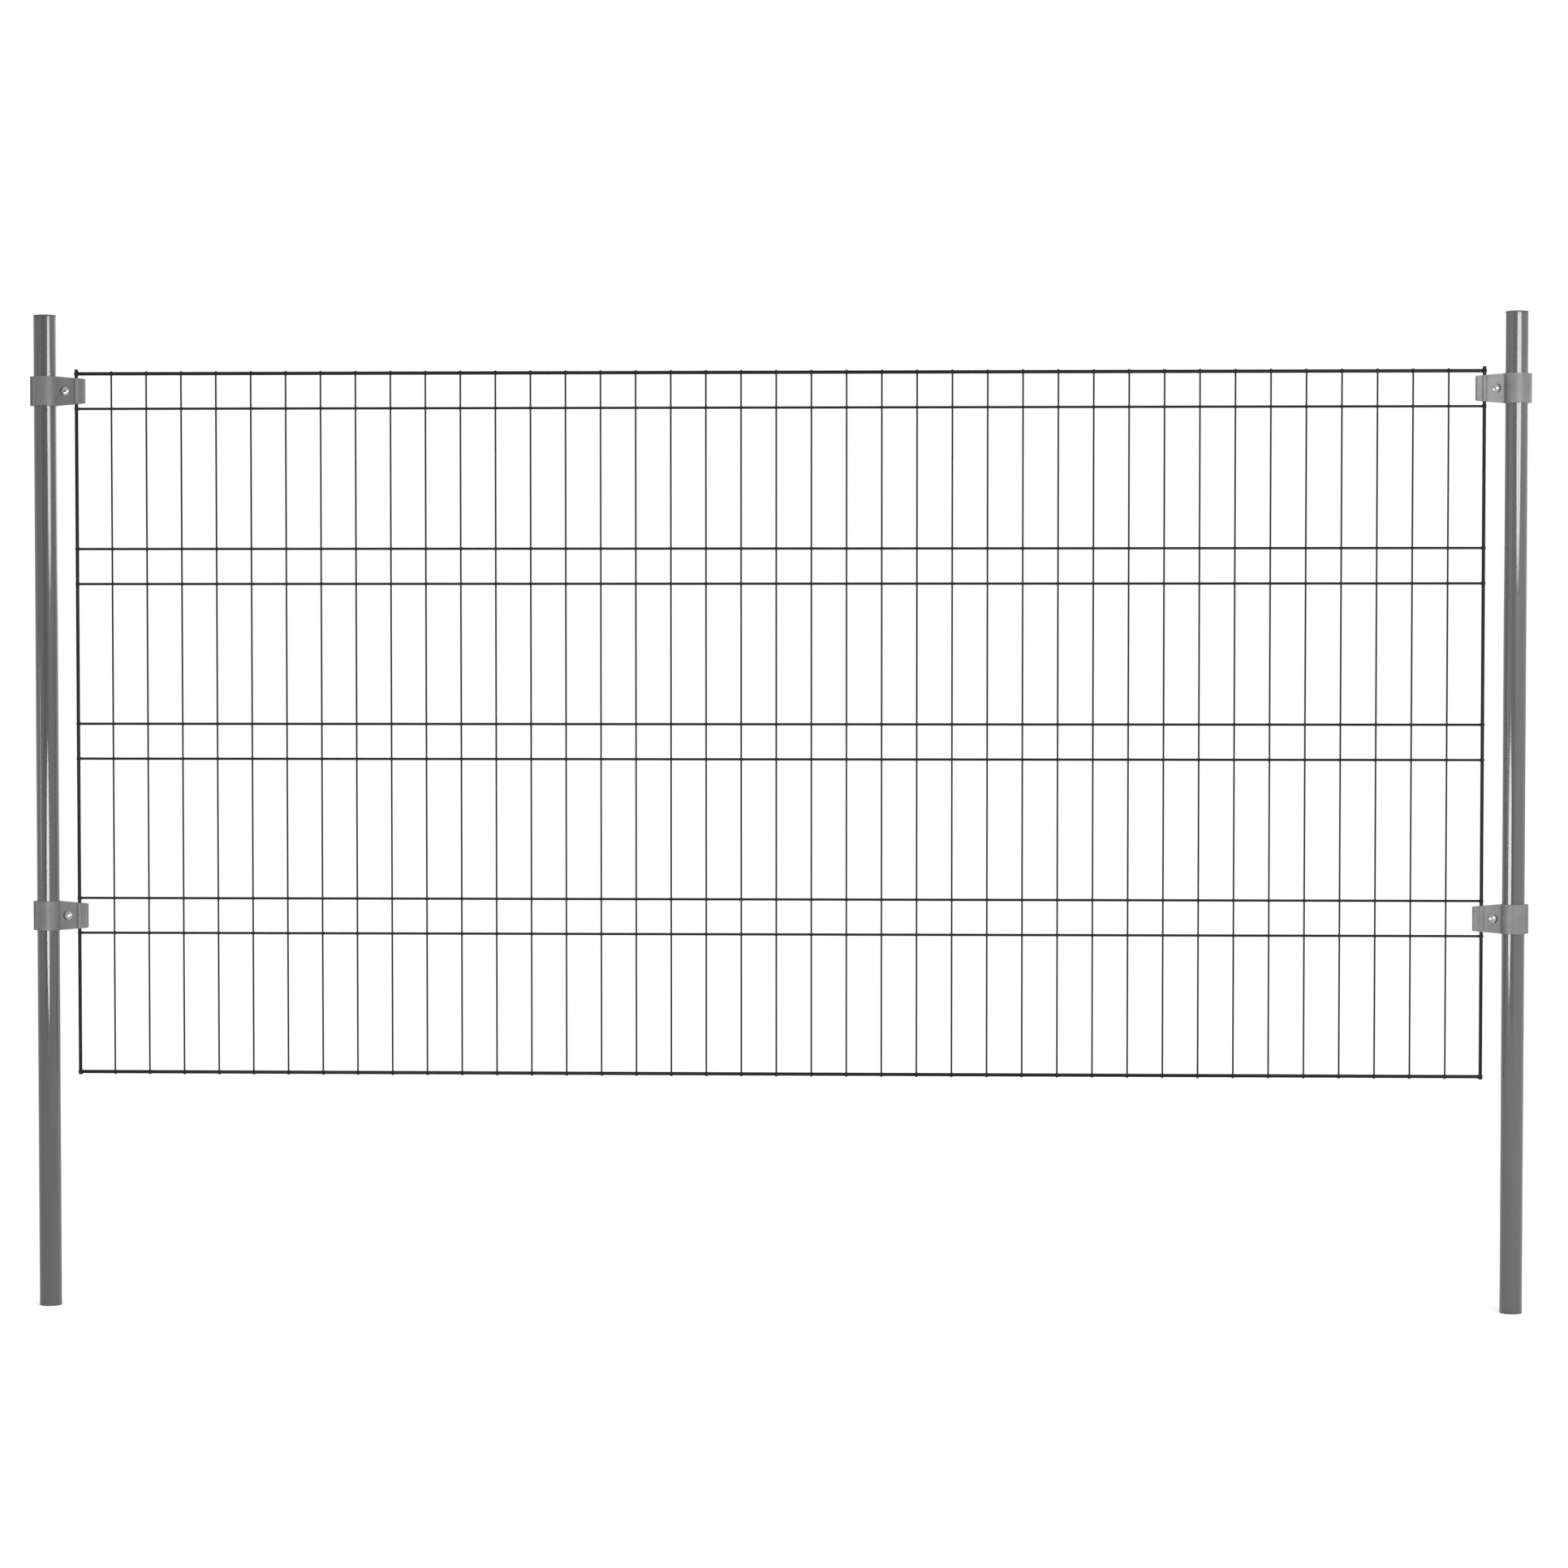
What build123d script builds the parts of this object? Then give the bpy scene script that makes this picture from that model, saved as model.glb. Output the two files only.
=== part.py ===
from build123d import *
from math import cos, radians, sqrt
import os

# A garden fence bay: a flat welded wire panel between two round tube posts, held by four bolted clamps.
# Millimetres, +Z up, +X along the fence, front towards -Y.
# The origin lies midway between the posts, at the level of their feet.

# Panel
mesh_pitch = 50.0
upright_gaps = 40
band_step = 250.0
band_count = 4
panel_bottom_z = 336.0
frame_wire_d = 5.0
line_wire_d = 3.5
upright_wire_d = 2.5
line_overhang = 3.5
edge_overhang = 6.0
edge_underhang = 3.5

# Posts and caps
post_d = 32.0
post_wall = 1.25
post_height = 1420.0
post_to_edge_wire = 45.0
cap_rim = 2.0
cap_crown = 1.0
cap_edge_r = 0.8
cap_plug_depth = 16.0
cap_plug_wall = 1.8
cap_plug_d = 28.4
cap_rib_d = 29.4
cap_rib_height = 1.2
cap_rib_step = 4.0
cap_rib_count = 3

# Clamp shells, in a section seen from above: u runs from the post's axis towards the panel
sheet = 1.5
running_fit = 0.06
split_gap = 0.8
clamp_height = 42.0
tail_height = 35.0
corner_r = 1.5
bend_r = 0.5
lip_overhang = 5.5
hem_play = 0.15
hem_r = 0.3
hem_tip_u = -18.75
tail_past_wire = 12.5
tail_bend_r = 1.5
tail_hook_depth = 3.4
rear_tail_past_wire = 8.5

# Clamp bolt, washer and nut (M6)
bolt_u = 28.5
bolt_d = 6.0
bolt_head_d = 13.0
bolt_head_height = 3.3
bolt_head_rim = 0.5
bolt_neck = 6.0
bolt_neck_length = 2.1
bolt_end_past_nut = 2.0
bolt_tip_chamfer = 0.8
neck_hole_play = 0.2
rear_hole_d = 6.6
washer_d = 12.0
washer_hole_d = 6.4
washer_thickness = 1.6
nut_across_flats = 10.0
nut_height = 5.0
nut_hole_d = 6.1
nut_corner_chamfer = 0.6

# Derived places
panel_width = upright_gaps * mesh_pitch
panel_top_z = panel_bottom_z + band_count * band_step
edge_x = panel_width / 2
post_x = edge_x + post_to_edge_wire
post_r = post_d / 2
tube_length = post_height - cap_rim - cap_crown
weld_y = frame_wire_d / 2
half_gap = split_gap / 2
seat_r = post_r + running_fit
bead_r = frame_wire_d / 2 + running_fit
seat_u = sqrt(seat_r**2 - half_gap**2)
bead_u = sqrt(bead_r**2 - half_gap**2)
wire_u = post_to_edge_wire
lip_u = -(post_r + lip_overhang)
tail_u = wire_u + tail_past_wire
face_y = half_gap + sheet

os.makedirs("parts", exist_ok=True)


def save(name, shape):
    export_step(shape, f"parts/{name}.step")


def line_wire(z, diameter):
    """A horizontal wire, lying behind the uprights and touching their backs."""
    length = panel_width + 2 * line_overhang
    return Pos(0, weld_y + diameter / 2, z) * Rot(0, 90, 0) * Cylinder(diameter / 2, length)


def upright_wire(x, bottom, top, diameter):
    """An upright wire, with its back on the front of the line wires."""
    rod = Cylinder(diameter / 2, top - bottom, align=(Align.CENTER, Align.CENTER, Align.MIN))
    return Pos(x, weld_y - diameter / 2, bottom) * rod


def build_panel():
    """The welded panel: four heavy outer wires, the line wires in close pairs and the thin uprights."""
    save("bottom_wire", line_wire(panel_bottom_z, frame_wire_d))
    save("top_wire", line_wire(panel_top_z, frame_wire_d))
    band_tops = [panel_bottom_z + (band + 1) * band_step for band in range(band_count)]
    levels = [z for top in band_tops for z in (top - mesh_pitch, top)][:-1]
    for number, z in enumerate(levels, start=1):
        save(f"line_wire_{number}", line_wire(z, line_wire_d))
    edge_bottom = panel_bottom_z - edge_underhang
    edge_top = panel_top_z + edge_overhang
    save("left_edge_wire", upright_wire(-edge_x, edge_bottom, edge_top, frame_wire_d))
    save("right_edge_wire", upright_wire(edge_x, edge_bottom, edge_top, frame_wire_d))
    flush = frame_wire_d / 2
    uprights = [
        upright_wire(gap * mesh_pitch - edge_x, panel_bottom_z - flush, panel_top_z + flush, upright_wire_d)
        for gap in range(1, upright_gaps)
    ]
    save("upright_wires", Compound(children=uprights))


def post_tube():
    """A plain round tube, cut square at both ends."""
    return extrude(Circle(post_r) - Circle(post_r - post_wall), tube_length)


def post_cap():
    """A moulded plug: a low crown on the tube's end and a ribbed cup pushed into its bore."""
    plug_r = cap_plug_d / 2
    cup_r = plug_r - cap_plug_wall
    crown_r = (post_r**2 + cap_crown**2) / (2 * cap_crown)
    with BuildSketch(Plane.XZ) as section:
        with BuildLine():
            crown = RadiusArc((post_r, cap_rim), (0, cap_rim + cap_crown), -crown_r)
            Polyline(
                crown @ 1,
                (0, 0),
                (cup_r, 0),
                (cup_r, -cap_plug_depth),
                (plug_r, -cap_plug_depth),
                (plug_r, 0),
                (post_r, 0),
                crown @ 0,
            )
        make_face()
        fillet(section.vertices().sort_by_distance((post_r, cap_rim))[0], radius=cap_edge_r)
        with Locations(*[(plug_r, -cap_rib_step * (rib + 1)) for rib in range(cap_rib_count)]):
            Rectangle(cap_rib_d - cap_plug_d, cap_rib_height)
    return Pos(0, 0, tube_length) * revolve(section.sketch, Axis.Z)


def shell_section(lip, tail):
    """The section of one pressed shell, on its own side of the clamp's split line.

    The inner face runs from the outer lip round the post, along the bolting flange, over the edge wire in
    a rounded bead and on to the tail. The sheet's thickness is laid on its outside.
    """
    with BuildLine() as inner_face:
        add(lip)
        ThreePointArc((-seat_u, half_gap), (0, seat_r), (seat_u, half_gap))
        Line((seat_u, half_gap), (wire_u - bead_u, half_gap))
        ThreePointArc((wire_u - bead_u, half_gap), (wire_u, bead_r), (wire_u + bead_u, half_gap))
        add(tail)
        bends = inner_face.vertices().filter_by(
            lambda v: min(abs(abs(v.X) - seat_u), abs(abs(v.X - wire_u) - bead_u)) < 0.01
        )
        fillet(bends, radius=bend_r + sheet)
    outline = inner_face.wire().offset_2d(sheet, kind=Kind.INTERSECTION, side=Side.LEFT)
    return Face(outline)


def press_shell(section):
    """A shell's section drawn out to the clamp's height and trimmed: full height at the post, with a taper
    from there along the tail.
    """
    with BuildSketch(Plane.XZ) as outline:
        Polygon(
            (lip_u, -clamp_height / 2),
            (post_r, -clamp_height / 2),
            (tail_u, -tail_height / 2),
            (tail_u, tail_height / 2),
            (post_r, clamp_height / 2),
            (lip_u, clamp_height / 2),
            align=None,
        )
        fillet(outline.vertices().filter_by(lambda v: abs(v.X - post_r) > 1), radius=corner_r)
    drawn = extrude(section, clamp_height / 2, both=True)
    return drawn & extrude(outline.sketch, post_d, both=True)


def front_shell():
    """The front shell hooks over the rear one at both ends: a hem at the lip and a turned tail."""
    hem_u = lip_u + sheet
    hem_back = -(face_y + hem_play)
    hem = FilletPolyline(
        (hem_tip_u, hem_back),
        (hem_u, hem_back),
        (hem_u, half_gap),
        (-seat_u, half_gap),
        radius=hem_r,
    )
    hook_u = tail_u - sheet
    hook = FilletPolyline(
        (wire_u + bead_u, half_gap),
        (hook_u, half_gap),
        (hook_u, -tail_hook_depth),
        radius=tail_bend_r,
    )
    neck_hole = bolt_neck + neck_hole_play
    shell = press_shell(shell_section(hem, hook)) - Pos(bolt_u, 0, 0) * Box(neck_hole, post_d, neck_hole)
    return mirror(shell, about=Plane.XZ)


def rear_shell():
    """The rear shell ends in a plain lip and a short straight tail, with a round bolt hole."""
    lip = Line((lip_u + sheet + hem_play, half_gap), (-seat_u, half_gap))
    tail = Line((wire_u + bead_u, half_gap), (wire_u + rear_tail_past_wire, half_gap))
    bolt_hole = Pos(bolt_u, 0, 0) * Rot(90, 0, 0) * Cylinder(rear_hole_d / 2, post_d)
    return press_shell(shell_section(lip, tail)) - bolt_hole


def clamp_bolt():
    """A low-domed bolt with a square neck, its head on the front shell and its tip past the nut."""
    grip = 2 * face_y + washer_thickness + nut_height + bolt_end_past_nut
    dome = bolt_head_height - bolt_head_rim
    dome_r = ((bolt_head_d / 2) ** 2 + dome**2) / (2 * dome)
    ball = Pos(0, 0, bolt_head_height - dome_r) * Sphere(dome_r)
    blank = Cylinder(bolt_head_d / 2, bolt_head_height, align=(Align.CENTER, Align.CENTER, Align.MIN))
    neck = Box(bolt_neck, bolt_neck, bolt_neck_length, align=(Align.CENTER, Align.CENTER, Align.MAX))
    shank = Cylinder(bolt_d / 2, grip, align=(Align.CENTER, Align.CENTER, Align.MAX))
    tip = shank.edges().filter_by(GeomType.CIRCLE).sort_by(Axis.Z)[0]
    bolt = (ball & blank) + neck + chamfer(tip, bolt_tip_chamfer)
    return Pos(bolt_u, -face_y, 0) * Rot(90, 0, 0) * bolt


def clamp_washer():
    ring = extrude(Circle(washer_d / 2) - Circle(washer_hole_d / 2), washer_thickness)
    return Pos(bolt_u, face_y, 0) * Rot(-90, 0, 0) * ring


def clamp_nut():
    """A hexagon nut with its corners turned off at both ends."""
    corner = nut_across_flats / 2 / cos(radians(30))
    turned = Cylinder(corner, nut_height, align=(Align.CENTER, Align.CENTER, Align.MIN))
    rims = turned.edges().filter_by(GeomType.CIRCLE)
    turned = chamfer(rims, nut_corner_chamfer / 2, nut_corner_chamfer)
    blank = extrude(RegularPolygon(corner, 6) - Circle(nut_hole_d / 2), nut_height)
    return Pos(bolt_u, face_y + washer_thickness, 0) * Rot(-90, 0, 0) * (blank & turned)


def build_sides():
    """Both posts with their caps and clamps. The right side mirrors the left."""
    post = Pos(-post_x, 0, 0)
    clamp_parts = {
        "front": front_shell(),
        "rear": rear_shell(),
        "bolt": clamp_bolt(),
        "washer": clamp_washer(),
        "nut": clamp_nut(),
    }
    band_middle = panel_top_z - mesh_pitch / 2
    clamp_levels = {"upper": band_middle, "lower": band_middle - (band_count - 1) * band_step}
    left_pieces = {"post": post * post_tube(), "post_cap": post * post_cap()}
    for side in ("left", "right"):
        for name, piece in left_pieces.items():
            save(f"{side}_{name}", piece if side == "left" else mirror(piece, about=Plane.YZ))
        for level, z in clamp_levels.items():
            for name, piece in clamp_parts.items():
                placed = Pos(-post_x, 0, z) * piece
                placed = placed if side == "left" else mirror(placed, about=Plane.YZ)
                save(f"{level}_{side}_clamp_{name}", placed)


build_panel()
build_sides()
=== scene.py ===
from math import atan2, cos, pi, radians, sin, sqrt

import bpy
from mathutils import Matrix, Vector


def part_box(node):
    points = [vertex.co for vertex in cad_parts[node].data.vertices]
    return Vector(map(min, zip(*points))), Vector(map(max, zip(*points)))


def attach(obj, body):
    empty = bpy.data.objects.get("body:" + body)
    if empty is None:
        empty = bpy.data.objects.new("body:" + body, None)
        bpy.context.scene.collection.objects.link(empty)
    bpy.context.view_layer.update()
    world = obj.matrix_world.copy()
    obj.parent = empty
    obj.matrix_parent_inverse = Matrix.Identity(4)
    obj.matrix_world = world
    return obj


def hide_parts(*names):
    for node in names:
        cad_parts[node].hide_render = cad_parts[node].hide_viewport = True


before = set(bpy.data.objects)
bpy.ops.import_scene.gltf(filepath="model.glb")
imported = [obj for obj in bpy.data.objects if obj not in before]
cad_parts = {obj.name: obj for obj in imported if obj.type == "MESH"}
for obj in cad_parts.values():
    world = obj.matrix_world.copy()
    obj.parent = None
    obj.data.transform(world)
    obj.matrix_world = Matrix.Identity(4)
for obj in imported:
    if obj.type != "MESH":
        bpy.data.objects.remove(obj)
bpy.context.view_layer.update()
bpy.ops.object.select_all(action="DESELECT")

# Long wires: nine level wires and two edge wires of drawn steel, cropped to length and welded to the
# uprights. The top, bottom and edge wires are the heavy ones. The finished panel is powder coated black,
# and the coat rounds the cropped ends.
mm = 0.001
quarter = pi / 2
line_wire_count = 7
wire_sides = 24
crop_rounding = 0.5 * mm
crop_steps = 3
facing = 0.9
noise_range = (0.3, 0.7)
wire_gloss = 0.15
wire_blacks = (0.005, 0.005, 0.006), (0.011, 0.011, 0.012)
wire_roughness = (0.40, 0.52)
wire_grain = 0.02 * mm


def pick(piece, kind, test):
    """In edit mode, leaves only those vertices, edges or faces selected that pass the test."""
    bpy.ops.object.mode_set(mode="EDIT")
    bpy.ops.mesh.select_mode(type=kind)
    bpy.ops.mesh.select_all(action="DESELECT")
    bpy.ops.object.mode_set(mode="OBJECT")
    mesh = piece.data
    if kind == "VERT":
        for vertex in mesh.vertices:
            vertex.select = test(vertex.co)
    elif kind == "EDGE":
        for edge in mesh.edges:
            edge.select = test(*(mesh.vertices[i].co for i in edge.vertices))
    else:
        for face in mesh.polygons:
            face.select = test(face.normal)
    bpy.ops.object.mode_set(mode="EDIT")


def draw_wire(name, low, high):
    """A straight wire that fills the box from low to high, with the coat rounding its cropped ends."""
    size = high - low
    level = size.x > size.z
    bpy.ops.mesh.primitive_cylinder_add(
        vertices=wire_sides,
        radius=sorted(size)[1] / 2,
        depth=max(size),
        location=(low + high) / 2,
        rotation=(0, quarter if level else 0, 0),
    )
    wire = bpy.context.object
    wire.name = name
    bpy.ops.object.transform_apply(location=True, rotation=True, scale=True)
    pick(wire, "FACE", lambda normal: abs(normal.x if level else normal.z) > facing)
    bpy.ops.mesh.bevel(offset=crop_rounding, segments=crop_steps, affect="EDGES")
    bpy.ops.object.mode_set(mode="OBJECT")
    return wire


def new_finish(name):
    """A node material, with the Object coordinates that its patterns read."""
    finish = bpy.data.materials.new(name)
    finish.use_nodes = True
    finish.node_tree.nodes.new("ShaderNodeTexCoord").name = "place"
    return finish


def pattern(finish, lumps, detail=2.0, squeezed=(1, 1, 1)):
    """The height of a noise with about that many lumps to the metre, squeezed along each axis."""
    nodes, links = finish.node_tree.nodes, finish.node_tree.links
    squeeze = nodes.new("ShaderNodeMapping")
    squeeze.inputs["Scale"].default_value = squeezed
    noise = nodes.new("ShaderNodeTexNoise")
    noise.inputs["Scale"].default_value = lumps
    noise.inputs["Detail"].default_value = detail
    links.new(nodes["place"].outputs["Object"], squeeze.inputs["Vector"])
    links.new(squeeze.outputs["Vector"], noise.inputs["Vector"])
    return noise.outputs["Fac"]


def vary(finish, socket, height, low, high):
    """Drives a shader socket between two values, or two colours, with a pattern's height."""
    nodes, links = finish.node_tree.nodes, finish.node_tree.links
    ramp = nodes.new("ShaderNodeValToRGB")
    for stop, position, value in zip(ramp.color_ramp.elements, noise_range, (low, high)):
        stop.position = position
        stop.color = (*value, 1) if isinstance(value, tuple) else (value, value, value, 1)
    links.new(height, ramp.inputs["Fac"])
    links.new(ramp.outputs["Color"], nodes["Principled BSDF"].inputs[socket])


def emboss(finish, height, depth):
    """Raises a pattern's height on the surface, to that depth in metres."""
    nodes, links = finish.node_tree.nodes, finish.node_tree.links
    bump = nodes.new("ShaderNodeBump")
    bump.inputs["Distance"].default_value = depth
    links.new(height, bump.inputs["Height"])
    links.new(bump.outputs["Normal"], nodes["Principled BSDF"].inputs["Normal"])


def dress(piece, finish, body, slot, *nodes, smooth_under=radians(35)):
    """Finishes a piece: shades it smooth up to its real edges, with its long faces kept flat, gives it its
    material and its body, and hides the CAD nodes that it stands for. Its slot is not used.
    """
    bpy.ops.object.select_all(action="DESELECT")
    piece.select_set(True)
    bpy.context.view_layer.objects.active = piece
    bpy.ops.object.shade_smooth_by_angle(angle=smooth_under)
    flat_faces = piece.modifiers.new("flat_faces", "WEIGHTED_NORMAL")
    flat_faces.keep_sharp = True
    bpy.ops.object.modifier_apply(modifier="flat_faces")
    piece.data.materials.clear()
    piece.data.materials.append(finish)
    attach(piece, body)
    if nodes:
        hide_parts(*nodes)


black_coat = new_finish("black_wire_coat")
black_coat.node_tree.nodes["Principled BSDF"].inputs["Specular IOR Level"].default_value = wire_gloss
vary(black_coat, "Base Color", pattern(black_coat, lumps=18), *wire_blacks)
vary(black_coat, "Roughness", pattern(black_coat, lumps=90), *wire_roughness)
emboss(black_coat, pattern(black_coat, lumps=900), wire_grain)

long_wires = {"wire_bottom": "bottom_wire", "wire_top": "top_wire"}
for number in range(1, line_wire_count + 1):
    long_wires[f"wire_level_{number}"] = f"line_wire_{number}"
for side in ("left", "right"):
    long_wires[f"wire_edge_{side}"] = f"{side}_edge_wire"
for name, node in long_wires.items():
    dress(draw_wire(name, *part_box(node)), black_coat, "panel", "wire_coating", node)

# Uprights: 39 thin wires, 50 mm apart, welded to the front of the level wires and cropped flush with the
# top and bottom ones. They carry the same coat.
upright_pitch = 50 * mm
uprights_low, uprights_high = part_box("upright_wires")
upright_d = uprights_high.y - uprights_low.y
upright_count = round((uprights_high.x - uprights_low.x) / upright_pitch) + 1


def repeat_along_panel(piece):
    """Repeats a piece at every thin upright."""
    row = piece.modifiers.new("row", "ARRAY")
    row.count = upright_count
    row.use_relative_offset = False
    row.use_constant_offset = True
    row.constant_offset_displace = (upright_pitch, 0, 0)
    bpy.ops.object.modifier_apply(modifier="row")


first_upright_high = Vector((uprights_low.x + upright_d, uprights_high.y, uprights_high.z))
uprights = draw_wire("wires_upright", uprights_low, first_upright_high)
repeat_along_panel(uprights)
dress(uprights, black_coat, "panel", "wire_coating", "upright_wires")

# Welds: at each crossing the wires are pressed together red hot, which squeezes a little steel into the
# corners between them. The coat runs over it, so each weld is a small soft lump.
lump_spread = 1.15
lump_thickness = 1.5 * mm
lump_softness = 0.9
weld_plane = uprights_high.y


def weld_lump(x, z, upright_size, level_size):
    """One lump between an upright and a level wire, spreading a little into the corners of the crossing."""
    bpy.ops.mesh.primitive_cube_add(
        size=1,
        location=(x, weld_plane, z),
        scale=(lump_spread * upright_size, lump_thickness, lump_spread * level_size),
    )
    bpy.ops.object.transform_apply(location=True, rotation=True, scale=True)
    bpy.ops.object.mode_set(mode="EDIT")
    bpy.ops.mesh.subdivide(number_cuts=1, smoothness=lump_softness)
    bpy.ops.object.mode_set(mode="OBJECT")
    return bpy.context.object


lumps = []
for name, node in long_wires.items():
    low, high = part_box(node)
    if "edge" in name:
        continue
    level_d = high.z - low.z
    level_z = (low.z + high.z) / 2
    lumps.append(weld_lump(uprights_low.x + upright_d / 2, level_z, upright_d, level_d))
    repeat_along_panel(lumps[-1])
    for side in ("left", "right"):
        edge_low, edge_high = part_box(f"{side}_edge_wire")
        lumps.append(weld_lump((edge_low.x + edge_high.x) / 2, level_z, edge_high.x - edge_low.x, level_d))
bpy.ops.object.select_all(action="DESELECT")
for lump in lumps:
    lump.select_set(True)
bpy.ops.object.join()
welds = bpy.context.object
welds.name = "weld_lumps"
dress(welds, black_coat, "panel", "wire_coating", smooth_under=pi)

# Posts: round steel tube with a thin wall, cut square at both ends and powder coated grey to a satin
# gloss. The coat rounds the cut rims.
tube_sides = 96
tube_wall = 1.25 * mm
rim_rounding = 0.35 * mm
rounding_steps = 2
sharp_edge = radians(50)
post_greys = (0.092, 0.093, 0.094), (0.108, 0.109, 0.109)
post_roughness = (0.07, 0.11)
post_grain = 0.002 * mm
along_post = (1, 1, 0.15)

grey_coat = new_finish("grey_post_coat")
drawn_streaks = pattern(grey_coat, lumps=14, detail=3, squeezed=along_post)
vary(grey_coat, "Base Color", drawn_streaks, *post_greys)
vary(grey_coat, "Roughness", pattern(grey_coat, lumps=60, detail=3), *post_roughness)
emboss(grey_coat, pattern(grey_coat, lumps=300), post_grain)


def round_edges(piece, width):
    """Rounds every sharp edge of a piece a little, as its coat or plating does."""
    rounding = piece.modifiers.new("rounding", "BEVEL")
    rounding.width = width
    rounding.segments = rounding_steps
    rounding.limit_method = "ANGLE"
    rounding.angle_limit = sharp_edge
    rounding.use_clamp_overlap = False
    bpy.ops.object.modifier_apply(modifier="rounding")


def ring(radius, length, wall, rounding):
    """A tube or washer standing on the origin, with its rims rounded."""
    bpy.ops.mesh.primitive_cylinder_add(
        vertices=tube_sides,
        radius=radius,
        depth=length,
        end_fill_type="NOTHING",
        location=(0, 0, length / 2),
    )
    bpy.ops.object.transform_apply(location=True, rotation=True, scale=True)
    piece = bpy.context.object
    thickness = piece.modifiers.new("wall", "SOLIDIFY")
    thickness.thickness = wall
    thickness.offset = -1
    thickness.use_even_offset = True
    bpy.ops.object.modifier_apply(modifier="wall")
    round_edges(piece, rounding)
    return piece


for side in ("left", "right"):
    low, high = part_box(f"{side}_post")
    tube = ring((high.x - low.x) / 2, high.z - low.z, tube_wall, rim_rounding)
    tube.name = f"tube_{side}"
    tube.location = ((low.x + high.x) / 2, 0, low.z)
    bpy.ops.object.transform_apply(location=True, rotation=True, scale=True)
    dress(tube, grey_coat, f"{side}_post", "post_finish", f"{side}_post")

# Caps: moulded grey plastic plugs. A low crown with a rounded rim lies on the tube's end, and a cup with
# three ribs is pushed into its bore.
cap_sides = 64
cap_steps = 8
cap_rim = 2.0 * mm
cap_crown = 1.0 * mm
cap_edge = 0.8 * mm
plug_r = 14.2 * mm
plug_wall = 1.8 * mm
plug_depth = 16 * mm
rib_r = 14.7 * mm
rib_height = 1.2 * mm
rib_step = 4 * mm
rib_count = 3
cap_greys = (0.062, 0.063, 0.065), (0.078, 0.079, 0.081)
cap_roughness = (0.52, 0.64)
cap_grain = 0.03 * mm

cap_plastic = new_finish("moulded_cap_plastic")
vary(cap_plastic, "Base Color", pattern(cap_plastic, lumps=120), *cap_greys)
vary(cap_plastic, "Roughness", pattern(cap_plastic, lumps=300), *cap_roughness)
emboss(cap_plastic, pattern(cap_plastic, lumps=1600), cap_grain)


def turn(sides, profile):
    """A turned or moulded piece about the Z axis: a round face drawn on through a profile's radii and
    heights, from one end to the other. A last radius of 0 closes it in a point.
    """
    (radius, height), *onward = profile
    bpy.ops.mesh.primitive_circle_add(
        vertices=sides, radius=radius, fill_type="NGON", location=(0, 0, height)
    )
    bpy.ops.object.transform_apply(location=True, rotation=True, scale=True)
    bpy.ops.object.mode_set(mode="EDIT")
    bpy.ops.mesh.select_mode(type="FACE")
    bpy.ops.mesh.select_all(action="SELECT")
    for next_radius, next_height in onward:
        bpy.ops.mesh.extrude_region_move(TRANSFORM_OT_translate={"value": (0, 0, next_height - height)})
        if next_radius == 0:
            bpy.ops.mesh.merge(type="CENTER")
            break
        share = next_radius / radius
        bpy.ops.transform.resize(value=(share, share, 1), center_override=(0, 0, next_height))
        radius, height = next_radius, next_height
    bpy.ops.mesh.select_all(action="SELECT")
    bpy.ops.mesh.normals_make_consistent(inside=False)
    bpy.ops.object.mode_set(mode="OBJECT")
    return bpy.context.object


def mould_cap(radius):
    """A cap with the tube's end at height 0: the cup with its ribs below it, the rim and crown above."""
    cup_r = plug_r - plug_wall
    profile = [(cup_r, 0), (cup_r, -plug_depth), (plug_r, -plug_depth)]
    for rib in range(rib_count, 0, -1):
        below, above = -rib * rib_step - rib_height / 2, -rib * rib_step + rib_height / 2
        profile += [(plug_r, below), (rib_r, below), (rib_r, above), (plug_r, above)]
    profile += [(plug_r, 0), (radius, 0)]
    edge_r = radius - cap_edge
    crown_r = (radius**2 + cap_crown**2) / (2 * cap_crown)
    crown_centre = cap_rim + cap_crown - crown_r
    edge_top = crown_centre + sqrt(crown_r**2 - edge_r**2)
    for step in range(cap_steps + 1):
        angle = step / cap_steps * quarter
        profile.append((edge_r + cap_edge * cos(angle), edge_top + cap_edge * (sin(angle) - 1)))
    for step in range(1, cap_steps + 1):
        r = edge_r * (1 - step / cap_steps)
        profile.append((r, crown_centre + sqrt(crown_r**2 - r**2)))
    return turn(cap_sides, profile)


for side in ("left", "right"):
    low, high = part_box(f"{side}_post")
    cap = mould_cap((high.x - low.x) / 2)
    cap.name = f"cap_{side}"
    cap.location = ((low.x + high.x) / 2, 0, high.z)
    bpy.ops.object.transform_apply(location=True, rotation=True, scale=True)
    dress(cap, cap_plastic, f"{side}_post", "cap_plastic", f"{side}_post_cap")

# Clamp shells: each clamp is two pressings of 1.5 mm steel, coated grey. They close round the post, meet
# in a bolting flange and close again round the panel's edge wire in a small bead. The front one is folded
# over the rear one's lip and turned in at its tail.
sheet = 1.5 * mm
running_fit = 0.06 * mm
half_gap = 0.4 * mm
bend_inside = 0.5 * mm
bend = bend_inside + sheet
tail_share = 35 / 42
corner_r = 1.6 * mm
corner_steps = 5
hem_play = 0.15 * mm
hem_r = 0.3 * mm
hem_tip = -18.75 * mm
tail_bend = 1.5 * mm
hook_depth = 3.4 * mm
rear_tail = 8.5 * mm
neck_hole = 6.2 * mm
rear_hole_r = 3.3 * mm
hole_sides = 32
edge_rounding = 0.22 * mm
bend_step = radians(6)
fewest_bend_steps = 3
at_edge = 0.01 * mm
clamp_greys = (0.145, 0.146, 0.145), (0.175, 0.176, 0.174)
clamp_roughness = (0.42, 0.54)
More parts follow.
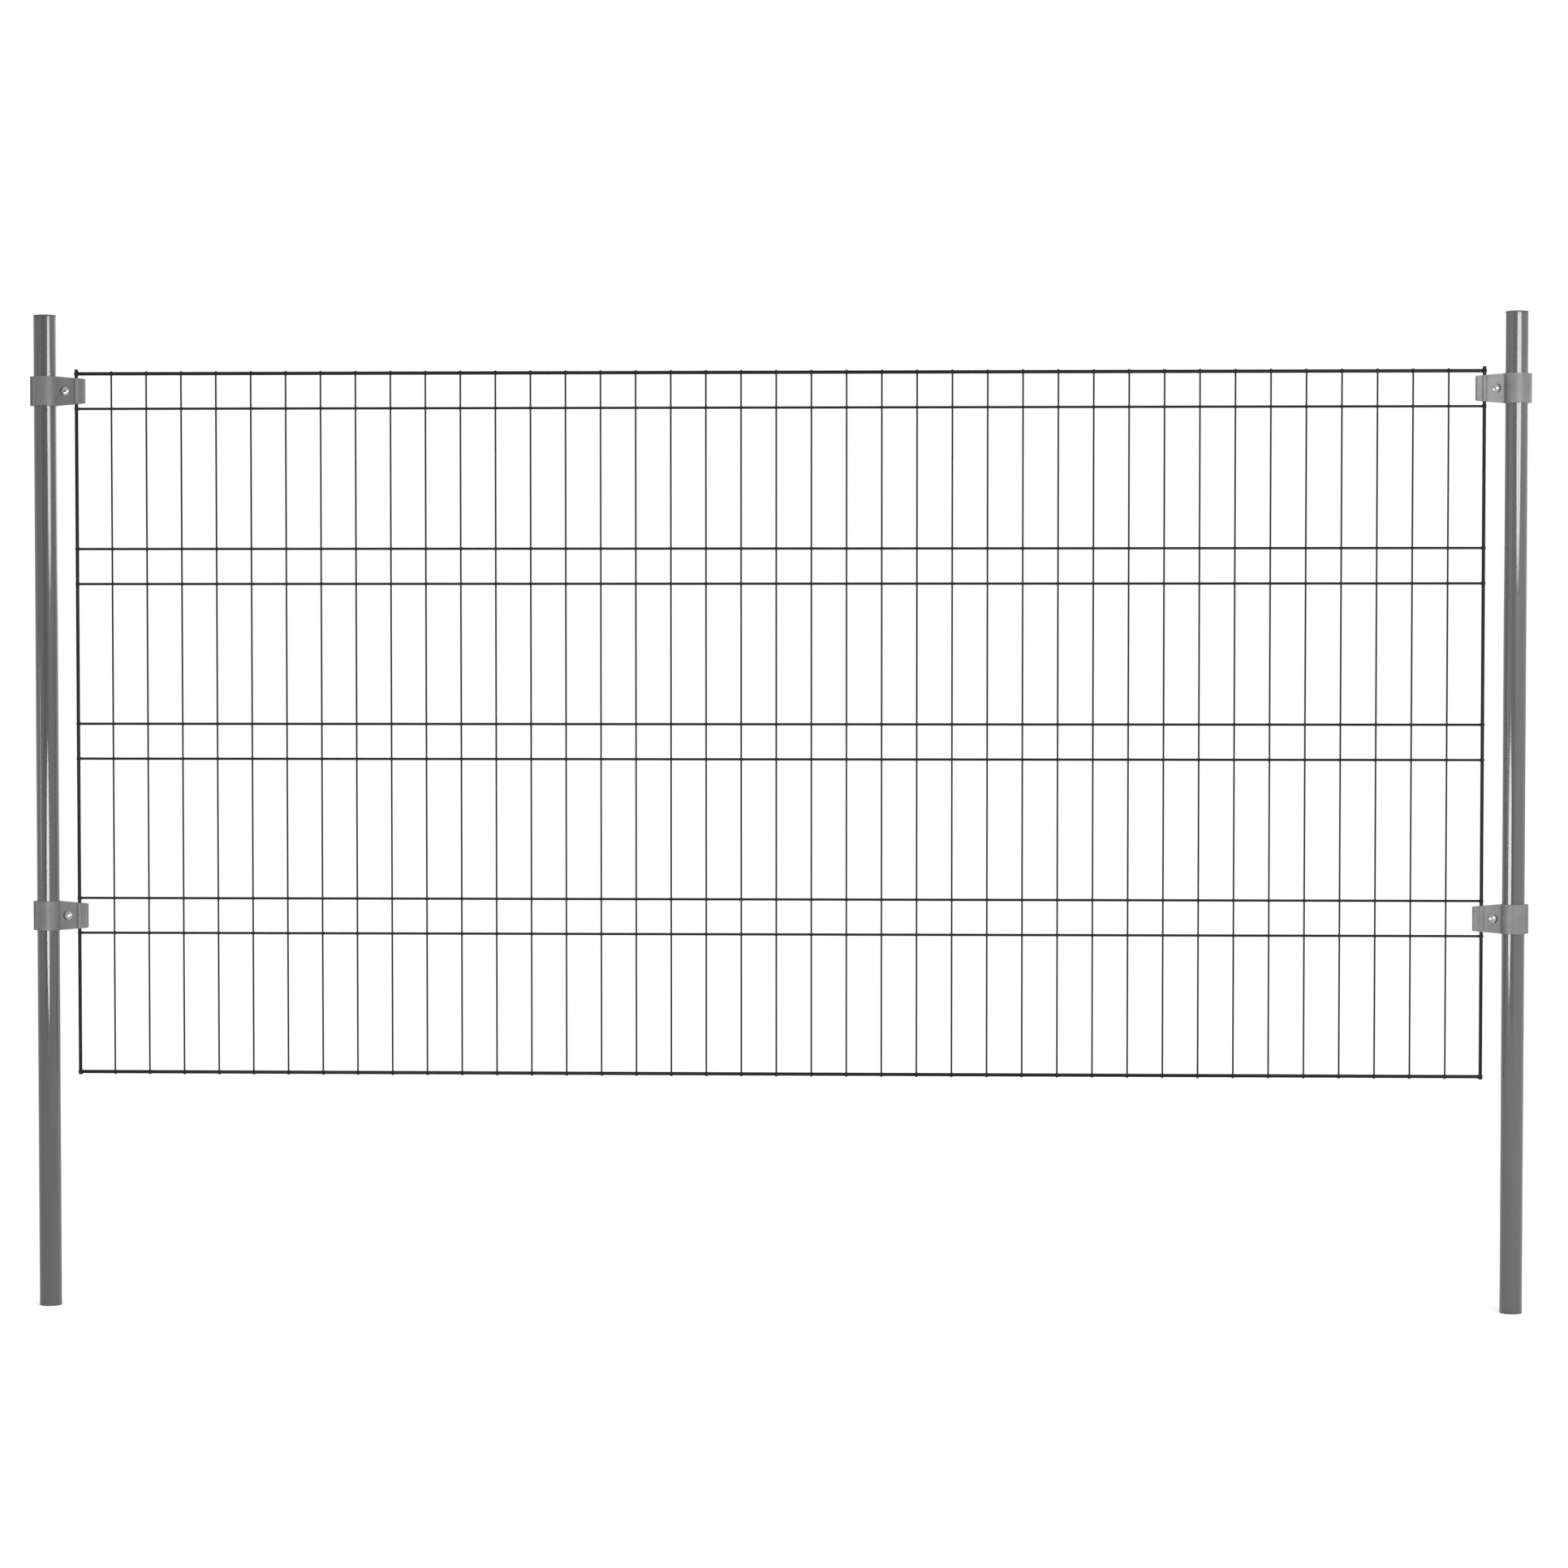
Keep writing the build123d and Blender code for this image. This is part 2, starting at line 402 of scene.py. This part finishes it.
clamp_grain = 0.03 * mm

post_low, post_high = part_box("left_post")
post_x = (post_low.x + post_high.x) / 2
post_r = (post_high.x - post_low.x) / 2
edge_low, edge_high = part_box("left_edge_wire")
wire_u = (edge_low.x + edge_high.x) / 2 - post_x
shell_low, shell_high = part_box("upper_left_clamp_front")
lip_u, tail_u = shell_low.x - post_x, shell_high.x - post_x
clamp_height = shell_high.z - shell_low.z
bolt_low, bolt_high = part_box("upper_left_clamp_bolt")
bolt_u = (bolt_low.x + bolt_high.x) / 2 - post_x
seat_r = post_r + running_fit
bead_r = (edge_high.x - edge_low.x) / 2 + running_fit
bend_rise = half_gap + bend
seat_foot = sqrt((seat_r + bend) ** 2 - bend_rise**2)
bead_foot = sqrt((bead_r + bend) ** 2 - bend_rise**2)
seat_turn = quarter - atan2(bend_rise, seat_foot)
bead_turn = quarter - atan2(bend_rise, bead_foot)

clamp_coat = new_finish("grey_clamp_coat")
vary(clamp_coat, "Base Color", pattern(clamp_coat, lumps=45, detail=4), *clamp_greys)
vary(clamp_coat, "Roughness", pattern(clamp_coat, lumps=130, detail=3), *clamp_roughness)
emboss(clamp_coat, pattern(clamp_coat, lumps=650, detail=3), clamp_grain)


def bend_sheet(start, heading, moves):
    """A strip of sheet as tall as the clamp, bent up as seen from above: a plain number is a straight run,
    and a pair is a radius and a turn, to the left if positive. Its inner face follows the moves.
    """
    x, y = start
    first_run = moves[0] * cos(heading)
    bpy.ops.mesh.primitive_plane_add(
        size=1, location=(x + first_run / 2, y, 0), rotation=(quarter, 0, 0)
    )
    strip = bpy.context.object
    strip.scale = (abs(first_run), clamp_height, 1)
    bpy.ops.object.transform_apply(location=True, rotation=True, scale=True)
    x += first_run
    pick(strip, "EDGE", lambda a, b: max(abs(a.x - x), abs(b.x - x)) < at_edge)
    for move in moves[1:]:
        if isinstance(move, tuple):
            radius, bend_angle = move
            left = radius if bend_angle > 0 else -radius
            centre_x, centre_y = x - left * sin(heading), y + left * cos(heading)
            bpy.ops.mesh.spin(
                steps=max(fewest_bend_steps, round(abs(bend_angle) / bend_step)),
                angle=-bend_angle,
                center=(centre_x, centre_y, 0),
                axis=(0, 0, 1),
            )
            heading += bend_angle
            x, y = centre_x + left * sin(heading), centre_y - left * cos(heading)
        else:
            run = (move * cos(heading), move * sin(heading), 0)
            bpy.ops.mesh.extrude_region_move(TRANSFORM_OT_translate={"value": run})
            x, y = x + run[0], y + run[1]
    bpy.ops.mesh.select_all(action="SELECT")
    bpy.ops.mesh.normals_make_consistent(inside=False)
    bpy.ops.object.mode_set(mode="OBJECT")
    thickness = strip.modifiers.new("sheet", "SOLIDIFY")
    thickness.thickness = sheet
    thickness.offset = 1
    thickness.use_even_offset = True
    bpy.ops.object.modifier_apply(modifier="sheet")
    return strip


def cut(piece, tool, operation):
    """Cuts a piece with a tool, joins the tool to it or keeps what they share, and clears the tool away."""
    fit = piece.modifiers.new("fit", "BOOLEAN")
    fit.operation = operation
    fit.object = tool
    fit.solver = "EXACT"
    bpy.ops.object.select_all(action="DESELECT")
    piece.select_set(True)
    bpy.context.view_layer.objects.active = piece
    bpy.ops.object.modifier_apply(modifier="fit")
    bpy.data.objects.remove(tool, do_unlink=True)


def clamp_outline():
    """The block that the shells are trimmed to: full height at the post, then a taper to the tail."""
    through = 4 * post_r
    bpy.ops.mesh.primitive_cube_add(
        size=1, location=((lip_u + post_r) / 2, 0, 0), scale=(post_r - lip_u, through, clamp_height)
    )
    block = bpy.context.object
    bpy.ops.object.transform_apply(location=True, rotation=True, scale=True)
    pick(block, "FACE", lambda normal: normal.x > facing)
    bpy.ops.mesh.extrude_region_move(TRANSFORM_OT_translate={"value": (tail_u - post_r, 0, 0)})
    bpy.ops.transform.resize(value=(1, 1, tail_share))
    pick(block, "EDGE", lambda a, b: abs(a.y - b.y) > post_r and abs(a.x - post_r) > post_r / 2)
    bpy.ops.mesh.bevel(offset=corner_r, segments=corner_steps, affect="EDGES")
    bpy.ops.object.mode_set(mode="OBJECT")
    return block


def copy_to_clamps(master, part, finish, slot, handed):
    """Sets a copy of a part in each clamp and clears the master away. A handed part has the post's axis as
    its origin and is mirrored on the right, and any other has the bolt's.
    """
    for level in ("upper", "lower"):
        for side, hand in (("left", 1), ("right", -1)):
            node = f"{level}_{side}_clamp_{part}"
            low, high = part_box(node)
            bpy.ops.object.select_all(action="DESELECT")
            master.select_set(True)
            bpy.context.view_layer.objects.active = master
            bpy.ops.object.duplicate()
            twin = bpy.context.object
            twin.name = f"clamp_{level}_{side}_{part}"
            twin.location = (hand * (post_x if handed else post_x + bolt_u), 0, (low.z + high.z) / 2)
            twin.scale = (hand if handed else 1, 1, 1)
            bpy.ops.object.transform_apply(location=True, rotation=True, scale=True)
            bpy.ops.object.mode_set(mode="EDIT")
            bpy.ops.mesh.select_all(action="SELECT")
            bpy.ops.mesh.normals_make_consistent(inside=False)
            bpy.ops.object.mode_set(mode="OBJECT")
            dress(twin, finish, f"{side}_clamps", slot, node)
    bpy.data.objects.remove(master, do_unlink=True)


seat_and_bead = [
    (bend, seat_turn),
    (seat_r, -2 * seat_turn),
    (bend, seat_turn),
    wire_u - bead_foot - seat_foot,
    (bend, bead_turn),
    (bead_r, -2 * bead_turn),
    (bend, bead_turn),
]
hem_u = lip_u + sheet
hem_back = -(half_gap + sheet + hem_play)
hook_u = tail_u - sheet
hem = [
    hem_tip - hem_u - hem_r,
    (hem_r, -quarter),
    half_gap - hem_back - 2 * hem_r,
    (hem_r, -quarter),
    -seat_foot - hem_u - hem_r,
]
hook = [
    hook_u - tail_bend - wire_u - bead_foot,
    (tail_bend, -quarter),
    half_gap - tail_bend + hook_depth,
]
front = bend_sheet((hem_tip, hem_back), pi, hem + seat_and_bead + hook)
cut(front, clamp_outline(), "INTERSECT")
bpy.ops.mesh.primitive_cube_add(size=neck_hole, location=(bolt_u, 0, 0))
cut(front, bpy.context.object, "DIFFERENCE")
round_edges(front, edge_rounding)
bpy.ops.object.mode_set(mode="EDIT")
bpy.ops.mesh.select_all(action="SELECT")
bpy.ops.transform.resize(value=(1, -1, 1), center_override=(0, 0, 0))
bpy.ops.object.mode_set(mode="OBJECT")
copy_to_clamps(front, "front", clamp_coat, "clamp_finish", handed=True)

rear_lip_u = hem_u + hem_play
lip = [-seat_foot - rear_lip_u]
rear = bend_sheet((rear_lip_u, half_gap), 0, lip + seat_and_bead + [rear_tail - bead_foot])
cut(rear, clamp_outline(), "INTERSECT")
bpy.ops.mesh.primitive_cylinder_add(
    vertices=hole_sides,
    radius=rear_hole_r,
    depth=4 * sheet,
    location=(bolt_u, sheet, 0),
    rotation=(quarter, 0, 0),
)
cut(rear, bpy.context.object, "DIFFERENCE")
round_edges(rear, edge_rounding)
copy_to_clamps(rear, "rear", clamp_coat, "clamp_finish", handed=True)

# Clamp bolts: M6 with a low domed head and a square neck that keeps it from turning in the front shell.
# They are rolled from steel and zinc plated bright, with the thread cut to a chamfered tip.
bolt_r = 3 * mm
thread_pitch = 1 * mm
thread_depth = 0.61 * mm
thread_cuts = 7
thread_steps = 24
turns_below_tip = 2
spare_turns = 3
crest_pushes = ((0.3, 0.4), (0.2, 0.4), (0.1, 0.2))
seam = 0.005 * mm
saw_cut = 0.001 * mm
head_height = 3.3 * mm
head_rim = 0.5 * mm
head_rounding = 0.2 * mm
neck_width = 6 * mm
neck_length = 2.1 * mm
tip_chamfer = 0.8 * mm
head_sides = 48
head_steps = 10
zinc_greys = (0.30, 0.31, 0.32), (0.38, 0.39, 0.40)
zinc_roughness = (0.20, 0.30)
zinc_grain = 0.02 * mm

zinc = new_finish("bright_zinc_plate")
zinc.node_tree.nodes["Principled BSDF"].inputs["Metallic"].default_value = 1
vary(zinc, "Base Color", pattern(zinc, lumps=220, detail=3), *zinc_greys)
vary(zinc, "Roughness", pattern(zinc, lumps=500, detail=3), *zinc_roughness)
emboss(zinc, pattern(zinc, lumps=1500, detail=3), zinc_grain)


def threaded_rod(top, tip):
    """A rolled thread that runs down from top to a chamfered tip, both heights below the bolt's head. Each
    push raises its crest: half the width in pitches, and how far in thread depths.
    """
    root_r = bolt_r - thread_depth
    bpy.ops.mesh.primitive_plane_add(
        size=thread_pitch, location=(root_r + thread_pitch / 2, 0, 0), rotation=(quarter, 0, 0)
    )
    rod = bpy.context.object
    bpy.ops.object.transform_apply(location=True, rotation=True, scale=True)
    pick(rod, "VERT", lambda place: place.x > root_r + thread_pitch / 2)
    bpy.ops.mesh.delete(type="VERT")
    bpy.ops.mesh.select_all(action="SELECT")
    bpy.ops.mesh.subdivide(number_cuts=thread_cuts)
    for half_width, push in crest_pushes:
        pick(rod, "VERT", lambda place: abs(place.z) < half_width * thread_pitch)
        bpy.ops.transform.translate(value=(push * thread_depth, 0, 0))
    bpy.ops.object.mode_set(mode="OBJECT")
    helix = rod.modifiers.new("helix", "SCREW")
    helix.screw_offset = thread_pitch
    helix.iterations = round((top - tip) / thread_pitch) + spare_turns
    helix.steps = helix.render_steps = thread_steps
    bpy.ops.object.modifier_apply(modifier="helix")
    rod.location.z = tip - turns_below_tip * thread_pitch
    bpy.ops.object.transform_apply(location=True, rotation=True, scale=True)
    bpy.ops.object.mode_set(mode="EDIT")
    bpy.ops.mesh.select_all(action="SELECT")
    bpy.ops.mesh.remove_doubles(threshold=seam)
    for height, keep_above in ((tip, True), (top, False)):
        bpy.ops.mesh.select_all(action="SELECT")
        bpy.ops.mesh.bisect(
            plane_co=(0, 0, height),
            plane_no=(0, 0, 1),
            use_fill=True,
            clear_inner=keep_above,
            clear_outer=not keep_above,
            threshold=saw_cut,
        )
    bpy.ops.mesh.select_all(action="SELECT")
    bpy.ops.mesh.normals_make_consistent(inside=False)
    bpy.ops.object.mode_set(mode="OBJECT")
    blank_r = bolt_r + tip_chamfer / 2
    blank = turn(
        head_sides,
        [(blank_r - tip_chamfer, tip), (blank_r, tip + tip_chamfer), (blank_r, top + thread_pitch)],
    )
    cut(rod, blank, "INTERSECT")
    return rod


head_r = (bolt_high.x - bolt_low.x) / 2
dome = head_height - head_rim
dome_r = (head_r**2 + dome**2) / (2 * dome)
head_profile = [(head_r - head_rounding, 0), (head_r, head_rounding), (head_r, head_rim)]
for step in range(1, head_steps + 1):
    r = head_r * (1 - step / head_steps)
    head_profile.append((r, head_height - dome_r + sqrt(dome_r**2 - r**2)))
bolt = turn(head_sides, head_profile)
neck_top = head_rim / 2
bpy.ops.mesh.primitive_cube_add(
    size=1,
    location=(0, 0, (neck_top - neck_length) / 2),
    scale=(neck_width, neck_width, neck_length + neck_top),
)
cut(bolt, bpy.context.object, "UNION")
bolt_tip = head_height - (bolt_high.y - bolt_low.y)
cut(bolt, threaded_rod(-neck_length / 2, bolt_tip), "UNION")
bolt.rotation_euler = (quarter, 0, 0)
bolt.location = (0, bolt_low.y + head_height, 0)
bpy.ops.object.transform_apply(location=True, rotation=True, scale=True)
copy_to_clamps(bolt, "bolt", zinc, "zinc_fastener", handed=False)

# Washers: plain rings stamped from steel strip and zinc plated, with the edges rolled over by the
# stamping. One lies under each nut, on the rear shell.
washer_low, washer_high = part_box("upper_left_clamp_washer")
washer_r = (washer_high.z - washer_low.z) / 2
washer_hole_r = 3.2 * mm
washer_rounding = 0.25 * mm
washer = ring(washer_r, washer_high.y - washer_low.y, washer_r - washer_hole_r, washer_rounding)
washer.rotation_euler = (-quarter, 0, 0)
washer.location = (0, washer_low.y, 0)
bpy.ops.object.transform_apply(location=True, rotation=True, scale=True)
copy_to_clamps(washer, "washer", zinc, "zinc_fastener", handed=False)

# Nuts: steel hexagons, zinc plated, with both faces turned to a chamfer and the hole countersunk. They are
# drawn up on the washers, and the bolts' tips stand out of them.
nut_low, nut_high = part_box("upper_left_clamp_nut")
nut_height = nut_high.y - nut_low.y
nut_corner = (nut_high.x - nut_low.x) / 2
nut_chamfer = 0.6 * mm
nut_hole_r = 3.05 * mm
countersink = 0.45 * mm
nut_sides = 6
bpy.ops.mesh.primitive_cylinder_add(
    vertices=nut_sides,
    radius=nut_corner,
    depth=nut_height,
    location=(0, 0, nut_height / 2),
    rotation=(0, 0, pi / nut_sides),
)
nut = bpy.context.object
bpy.ops.object.transform_apply(location=True, rotation=True, scale=True)
round_edges(nut, edge_rounding / 2)
face_r = nut_corner - nut_chamfer
bevel_rise = nut_chamfer / 2
bevelled = [
    (face_r, 0),
    (nut_corner, bevel_rise),
    (nut_corner, nut_height - bevel_rise),
    (face_r, nut_height),
]
cut(nut, turn(head_sides, bevelled), "INTERSECT")
mouth_r = nut_hole_r + 2 * countersink
drill = [
    (mouth_r, -countersink),
    (nut_hole_r, countersink),
    (nut_hole_r, nut_height - countersink),
    (mouth_r, nut_height + countersink),
]
cut(nut, turn(head_sides, drill), "DIFFERENCE")
nut.rotation_euler = (-quarter, 0, 0)
nut.location = (0, nut_low.y, 0)
bpy.ops.object.transform_apply(location=True, rotation=True, scale=True)
copy_to_clamps(nut, "nut", zinc, "zinc_fastener", handed=False)

# Floor: a wide pale floor at the level of the post feet, which runs out into the white surround and keeps
# the fence's soft shadow. A faint glow of its own fills in round the pool of light under the high lamp.
floor_size = 60
floor_white = 0.8
pool_middle = (0.9, -1.2, 0)
pool_core_r = 0.6
pool_edge_r = 1.5
glow_in_pool = 0.085
glow_outside = 0.40
bpy.ops.mesh.primitive_plane_add(size=floor_size)
floor = bpy.context.object
floor.name = "floor"
pale = bpy.data.materials.new("pale_floor")
pale.use_nodes = True
floor.data.materials.append(pale)


def background_rays(tree):
    """1 for the rays that see the surround as it is: from the camera, off gloss or through glass."""
    path = tree.nodes.new("ShaderNodeLightPath")
    either = tree.nodes.new("ShaderNodeMath")
    either.operation = "MAXIMUM"
    tree.links.new(path.outputs["Is Camera Ray"], either.inputs[0])
    tree.links.new(path.outputs["Is Glossy Ray"], either.inputs[1])
    any_of = tree.nodes.new("ShaderNodeMath")
    any_of.operation = "MAXIMUM"
    tree.links.new(either.outputs[0], any_of.inputs[0])
    tree.links.new(path.outputs["Is Transmission Ray"], any_of.inputs[1])
    return any_of.outputs[0]


paint = pale.node_tree.nodes["Principled BSDF"]
paint.inputs["Base Color"].default_value = (floor_white, floor_white, floor_white, 1)
paint.inputs["Roughness"].default_value = 1
paint.inputs["Specular IOR Level"].default_value = 0
paint.inputs["Emission Color"].default_value = (1, 1, 1, 1)
spread = pale.node_tree.nodes.new("ShaderNodeTexCoord")
reach = pale.node_tree.nodes.new("ShaderNodeVectorMath")
reach.operation = "DISTANCE"
reach.inputs[1].default_value = pool_middle
pale.node_tree.links.new(spread.outputs["Object"], reach.inputs[0])
fade = pale.node_tree.nodes.new("ShaderNodeMapRange")
fade.inputs["From Min"].default_value = pool_core_r
fade.inputs["From Max"].default_value = pool_edge_r
fade.inputs["To Min"].default_value = glow_in_pool
fade.inputs["To Max"].default_value = glow_outside
pale.node_tree.links.new(reach.outputs["Value"], fade.inputs["Value"])
glow = pale.node_tree.nodes.new("ShaderNodeMath")
glow.operation = "MULTIPLY"
pale.node_tree.links.new(background_rays(pale.node_tree), glow.inputs[0])
pale.node_tree.links.new(fade.outputs["Result"], glow.inputs[1])
pale.node_tree.links.new(glow.outputs[0], paint.inputs["Emission Strength"])

# Surround: an even white studio on all sides. It is seen at full white, in gloss too, and lights the
# fence a little less.
surround_light = 0.80
world = bpy.data.worlds.new("white_surround")
bpy.context.scene.world = world
world.use_nodes = True
sky = world.node_tree.nodes["Background"]
sky.inputs["Color"].default_value = (1, 1, 1, 1)
brightness = world.node_tree.nodes.new("ShaderNodeMath")
brightness.operation = "MULTIPLY_ADD"
brightness.inputs[1].default_value = 1 - surround_light
brightness.inputs[2].default_value = surround_light
world.node_tree.links.new(background_rays(world.node_tree), brightness.inputs[0])
world.node_tree.links.new(brightness.outputs[0], sky.inputs["Strength"])

# Lamps: two wide soft boxes in front of the fence, one high on the right and one low on the left, draw the
# long highlights down the posts. A small one stands off the left end and a weak one behind. The low and the
# small one show in gloss alone, so that the floor stays evenly lit.
soft_boxes = (  # name, place, aim, width and height, watts, seen by matt surfaces
    ("soft_box_high", (1.66, -2.30, 1.43), (0.0, 0.0, 1.35), (2.00, 0.70), 45, True),
    ("soft_box_low", (-0.63, -1.65, 0.51), (0.85, 0.0, 0.51), (1.30, 0.49), 24.5, False),
    ("soft_box_side", (-2.48, -0.70, 0.71), (-1.045, 0.0, 0.71), (0.30, 0.45), 1.5, False),
    ("soft_box_rear", (0.60, 2.80, 1.60), (0.0, 0.0, 0.80), (2.20, 1.20), 10, True),
)
for name, place, aim, size, watts, on_matt in soft_boxes:
    bpy.ops.object.light_add(type="AREA", location=place)
    lamp = bpy.context.object
    lamp.name = name
    lamp.data.shape = "ELLIPSE"
    lamp.data.size, lamp.data.size_y = size
    lamp.data.energy = watts
    lamp.visible_camera = False
    lamp.visible_diffuse = on_matt
    lamp.rotation_euler = (Vector(aim) - Vector(place)).to_track_quat("-Z", "Y").to_euler()

# Card: a black card that stands on the floor behind the lamps, on the camera's side. It shows in gloss
# alone, and lays a dark band beside the highlights on the posts.
card_width = 4.0
card_height = 2.3
card_place = (-1.0, -4.3, card_height / 2)
card_black = 0.005
bpy.ops.mesh.primitive_plane_add(size=1, location=card_place, rotation=(quarter, 0, 0))
card = bpy.context.object
card.name = "black_card"
card.scale = (card_width, card_height, 1)
bpy.ops.object.transform_apply(location=True, rotation=True, scale=True)
card.visible_camera = False
card.visible_diffuse = False
card.visible_transmission = False
card.visible_shadow = False
matt_paper = bpy.data.materials.new("black_card")
matt_paper.use_nodes = True
card.data.materials.append(matt_paper)
paper = matt_paper.node_tree.nodes["Principled BSDF"]
paper.inputs["Base Color"].default_value = (card_black, card_black, card_black, 1)
paper.inputs["Roughness"].default_value = 1
paper.inputs["Specular IOR Level"].default_value = 0

# Camera: stands in front of the fence, a little to the right of the panel's middle and above it. A long lens
# takes in the whole bay, with the posts near the picture's sides.
lens = 93.17
sensor = 36
camera_place = Vector((0.2116, -5.7728, 0.9597))
camera_aim = Vector((0.0111, 0.0, 0.7510))
bpy.ops.object.camera_add(location=camera_place)
camera = bpy.context.object
camera.name = "camera"
camera.rotation_euler = (camera_aim - camera_place).to_track_quat("-Z", "Y").to_euler()
camera.data.sensor_width = sensor
camera.data.lens = lens
bpy.context.scene.camera = camera
bpy.context.scene.view_settings.view_transform = "Standard"
